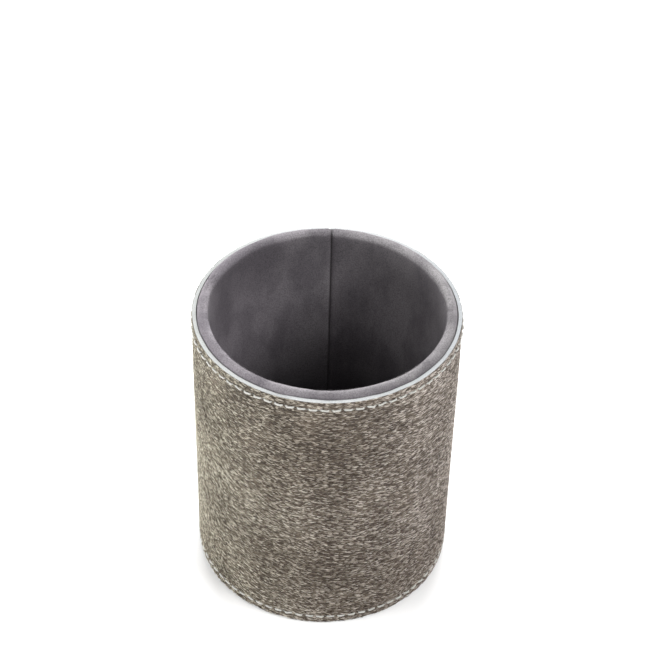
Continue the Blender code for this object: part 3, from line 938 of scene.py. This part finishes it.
def make_rim_nap(material):
    """Short fibres that stand off the suede where it rolls over the rim. Each is a thin pyramid."""
    random = np.random.default_rng(61)
    angle = random.uniform(0.0, math.tau, NAP_FIBRES)
    turn = random.uniform(NAP_FROM, NAP_TO, NAP_FIBRES)
    length = random.uniform(*NAP_LENGTH, NAP_FIBRES)[:, None]
    outward = wrapped(angle, np.sin(turn), np.cos(turn))
    along = wrapped(angle + math.pi / 2, 0.0, 1.0)
    root = wrapped(angle, RIM_CENTRE_Z + RIM_WIDTH / 2 * np.sin(turn),
                   RIM_CENTRE_RADIUS + RIM_WIDTH / 2 * np.cos(turn))
    direction = outward + random.normal(0.0, NAP_LEAN, (NAP_FIBRES, 3))
    direction /= np.linalg.norm(direction, axis=1, keepdims=True)
    across = np.cross(outward, along)
    corners = []
    for corner in range(3):
        around = math.tau * corner / 3
        side = along * math.cos(around) + across * math.sin(around)
        corners.append(root - outward * NAP_ROOT_DEPTH + side * NAP_WIDTH / 2)
    tip = root + direction * length
    points = np.stack([*corners, tip], axis=1)
    pyramid = np.array([(0, 1, 3), (1, 2, 3), (2, 0, 3), (0, 2, 1)])
    faces = (np.arange(NAP_FIBRES)[:, None, None] * 4 + pyramid).reshape(-1, 3).tolist()
    nap = new_mesh_object("rim_nap", points, faces, [material])
    store_values(nap, "tone_and_light", np.repeat(random.uniform(*NAP_STRETCH, NAP_FIBRES), 4))
    return nap


# Floor suede and underside leather: discs turned round the axis from a profile of (radius, z)
DISC_COLUMNS = 240
DISC_SPACING = 0.9 * MM
HIDDEN_SPACING = 3 * MM
SIDE_SPACING = 0.7 * MM
FIRST_RING = 1.0 * MM

# A rounded edge's first and last angle, and how many points it has
FLOOR_ARC = (math.radians(75), 0.0, 5)
COVER_ARC = (math.radians(70), -math.radians(70), 9)

FLOOR_ROUNDING = 0.5 * MM
FLOOR_BEVEL = 0.1 * MM
FLOOR_BUMP_HEIGHT = 0.05 * MM
FLOOR_FINE_HEIGHT = 0.015 * MM
FLOOR_SINK = 0.06 * MM
COVER_ROUNDING = 0.35 * MM
COVER_GRAIN_HEIGHT = 0.02 * MM
COVER_PLAIN_EDGE = 1.5 * MM
COVER_GRAIN_FADE = 4 * MM
COVER_GRAIN_LEVEL = 1.2


def turned_piece(name, profile, relief, material):
    """Turns an axis-to-axis profile all round. relief(angle, radius, z) says how far a point is raised."""
    radius, z = np.array(profile).T
    angle = np.linspace(0.0, math.tau, DISC_COLUMNS, endpoint=False)[:, None]
    ring_radius, ring_z = radius[1:-1], z[1:-1]
    rings = wrapped(angle, ring_z + relief(angle, ring_radius, ring_z), ring_radius)
    count = len(ring_z)
    points = np.concatenate([rings.reshape(-1, 3), [[0.0, 0.0, z[0]], [0.0, 0.0, z[-1]]]])
    quads = grid_faces(DISC_COLUMNS + 1, count, closed_rows=False) % (DISC_COLUMNS * count)
    first, last = DISC_COLUMNS * count, DISC_COLUMNS * count + 1
    faces = quads[:, ::-1].tolist()
    for column in range(DISC_COLUMNS):
        here, after = column * count, (column + 1) % DISC_COLUMNS * count
        faces.append([first, here, after])
        faces.append([last, after + count - 1, here + count - 1])
    return new_mesh_object(name, points, faces, [material])


def make_floor_suede(material):
    """The suede over the floor board, turned in under it."""
    edge, top, bottom = FLOOR_HIGH[0], FLOOR_HIGH[2], FLOOR_LOW[2]
    round_radius, round_z = edge - FLOOR_ROUNDING, top - FLOOR_ROUNDING
    profile = [(0.0, top)]
    profile += [(radius, top) for radius in spaced(FIRST_RING, round_radius, DISC_SPACING)]
    profile += [(round_radius + FLOOR_ROUNDING * math.cos(turn), round_z + FLOOR_ROUNDING * math.sin(turn))
                for turn in np.linspace(*FLOOR_ARC)]
    profile += [(edge, z) for z in spaced(round_z, bottom + FLOOR_BEVEL, SIDE_SPACING)[1:]]
    profile += [(edge - FLOOR_BEVEL, bottom),
                (edge - FLOOR_TURN_IN, bottom),
                (edge - FLOOR_TURN_IN, bottom + SUEDE_THICKNESS),
                (edge - SUEDE_THICKNESS, bottom + SUEDE_THICKNESS),
                (edge - SUEDE_THICKNESS, top - SUEDE_THICKNESS),
                (0.0, top - SUEDE_THICKNESS)]
    bumps = wave_field(seed=41, around=9 * MM, up=9 * MM)
    fine = wave_field(seed=42, around=2.5 * MM, up=2.5 * MM, terms=24)

    def relief(angle, radius, z):
        on_top = np.clip((z - (top - FLOOR_BEVEL)) / FLOOR_BEVEL, 0, 1)
        uneven = bumps(angle, radius) * FLOOR_BUMP_HEIGHT + fine(angle, radius) * FLOOR_FINE_HEIGHT
        return on_top * radius / HIDE_RADIUS * (uneven - FLOOR_SINK)

    return turned_piece("floor_suede", profile, relief, material)


def make_underside(material):
    """The leather disc under the cup, with a rounded edge."""
    edge, top, bottom = COVER_HIGH[0], COVER_HIGH[2], COVER_LOW[2]
    round_radius = edge - COVER_ROUNDING
    profile = [(0.0, top)]
    profile += [(radius, top) for radius in spaced(2 * FIRST_RING, round_radius, HIDDEN_SPACING)]
    for turn in np.linspace(*COVER_ARC):
        round_z = top - COVER_ROUNDING if turn >= 0 else bottom + COVER_ROUNDING
        profile.append((round_radius + COVER_ROUNDING * math.cos(turn),
                        round_z + COVER_ROUNDING * math.sin(turn)))
    profile += [(radius, bottom) for radius in spaced(round_radius, FIRST_RING, DISC_SPACING)]
    profile.append((0.0, bottom))
    grain = wave_field(seed=43, around=1.6 * MM, up=1.6 * MM, terms=24)

    def relief(angle, radius, z):
        below = z < bottom + COVER_GRAIN_HEIGHT / 2
        inside = np.clip((edge - COVER_PLAIN_EDGE - radius) / COVER_GRAIN_FADE, 0, 1)
        raised = np.maximum(0.0, COVER_GRAIN_LEVEL + grain(angle, radius)) * COVER_GRAIN_HEIGHT * inside
        return np.where(below, raised, 0.0)

    return turned_piece("underside_leather", profile, relief, material)


# -------- scene

def look_from(place, pitch, yaw, roll):
    """A camera's world matrix. Pitch looks down, and yaw turns towards +X."""
    forward = Vector((math.sin(yaw) * math.cos(pitch), math.cos(yaw) * math.cos(pitch), -math.sin(pitch)))
    level_right = forward.cross(Vector((0, 0, 1))).normalized()
    level_up = level_right.cross(forward)
    right = math.cos(roll) * level_right + math.sin(roll) * level_up
    up = math.cos(roll) * level_up - math.sin(roll) * level_right
    axes = Matrix((right, up, -forward)).transposed().to_4x4()
    return Matrix.Translation(place) @ axes


def make_camera():
    data = bpy.data.cameras.new("camera")
    data.sensor_fit = "HORIZONTAL"
    data.angle = CAMERA_VIEW_ANGLE
    data.clip_start = 0.01
    camera = bpy.data.objects.new("camera", data)
    camera.matrix_world = look_from(CAMERA_PLACE, CAMERA_PITCH, CAMERA_YAW, CAMERA_ROLL)
    bpy.context.collection.objects.link(camera)
    bpy.context.scene.camera = camera


# Soft studio light: every softbox faces the middle of the cup. Powers are in watts.
Softbox = namedtuple("Softbox", "name place size power")
SOFTBOXES = [Softbox("left_fill", (-0.68, -0.16, 0.08), 0.3, 6.8),
             Softbox("right_fill", (0.68, -0.10, 0.08), 0.3, 0.8),
             Softbox("front_right", (0.51, -0.30, 0.55), 0.35, 4.5),
             Softbox("front_left", (-0.49, -0.30, 0.50), 0.35, 1.6),
             Softbox("back_top", (0.0, 0.75, 0.50), 0.6, 12.5)]
LIGHT_TARGET = Vector((0.0, 0.0, 0.05))
WORLD_STRENGTH = 0.47

# The pale floor lies just below the cup's foot, so that the two don't share a plane
STUDIO_FLOOR_REACH = 3.0
STUDIO_FLOOR_Z = -0.05 * MM


def make_softbox(box):
    data = bpy.data.lights.new(box.name, "AREA")
    data.shape = "SQUARE"
    data.size = box.size
    data.energy = box.power
    light = bpy.data.objects.new(box.name, data)
    light.location = box.place
    light.rotation_euler = (LIGHT_TARGET - light.location).to_track_quat("-Z", "Y").to_euler()
    bpy.context.collection.objects.link(light)


def make_studio():
    world = bpy.data.worlds.new("studio")
    world.use_nodes = True
    background = world.node_tree.nodes["Background"]
    background.inputs["Color"].default_value = (1.0, 1.0, 1.0, 1.0)
    background.inputs["Strength"].default_value = WORLD_STRENGTH
    bpy.context.scene.world = world
    for box in SOFTBOXES:
        make_softbox(box)


def make_studio_floor():
    signs = [(-1, -1), (1, -1), (1, 1), (-1, 1)]
    corners = [(x * STUDIO_FLOOR_REACH, y * STUDIO_FLOOR_REACH, STUDIO_FLOOR_Z) for x, y in signs]
    material, tree, shader = new_material("pale_floor", roughness=0.9, specular=0.1)
    tint = object_noise(tree, scale=3.0)
    colour = colour_ramp(tree, tint, [(0.0, grey(0.90)), (1.0, grey(0.92))])
    tree.links.new(colour, shader.inputs["Base Color"])
    floor = new_mesh_object("studio_floor", corners, [(0, 1, 2, 3)], [material])


def dress_hidden_nodes(thread):
    """New materials for the pieces that stay the CAD's own."""
    boards = board_material("grey_board", (0.26, 0.245, 0.22), (0.42, 0.40, 0.365))
    card = board_material("filler_card", (0.44, 0.40, 0.33), (0.62, 0.57, 0.48))
    for node in ("core_tube", "base_board", "floor_board"):
        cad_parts[node].material_slots[0].material = boards
    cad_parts["filler_wrap"].material_slots[0].material = card
    for node in ("top_lock_thread", "bottom_lock_thread"):
        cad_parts[node].material_slots[0].material = thread


def main():
    suede = suede_material()
    thread = thread_material()

    hide = make_hide()
    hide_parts("hide_sleeve")
    hair = make_hair()

    top_stitches = make_stitches("top_stitches", TOP_ROW_Z, 51, thread)
    bottom_stitches = make_stitches("bottom_stitches", BOTTOM_ROW_Z, 52, thread)
    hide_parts("top_needle_thread")
    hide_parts("bottom_needle_thread")

    wall = make_wall_suede(suede)
    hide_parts("wall_lining")
    nap = make_rim_nap(suede)
    floor = make_floor_suede(suede)
    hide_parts("floor_lining")
    underside = make_underside(base_leather_material())
    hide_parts("base_cover")

    for piece in [hide, *hair, top_stitches, bottom_stitches, wall, nap, floor, underside]:
        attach(piece, BODY)

    dress_hidden_nodes(thread)
    make_studio_floor()
    make_studio()
    make_camera()
    bpy.context.scene.view_settings.view_transform = "Standard"


main()
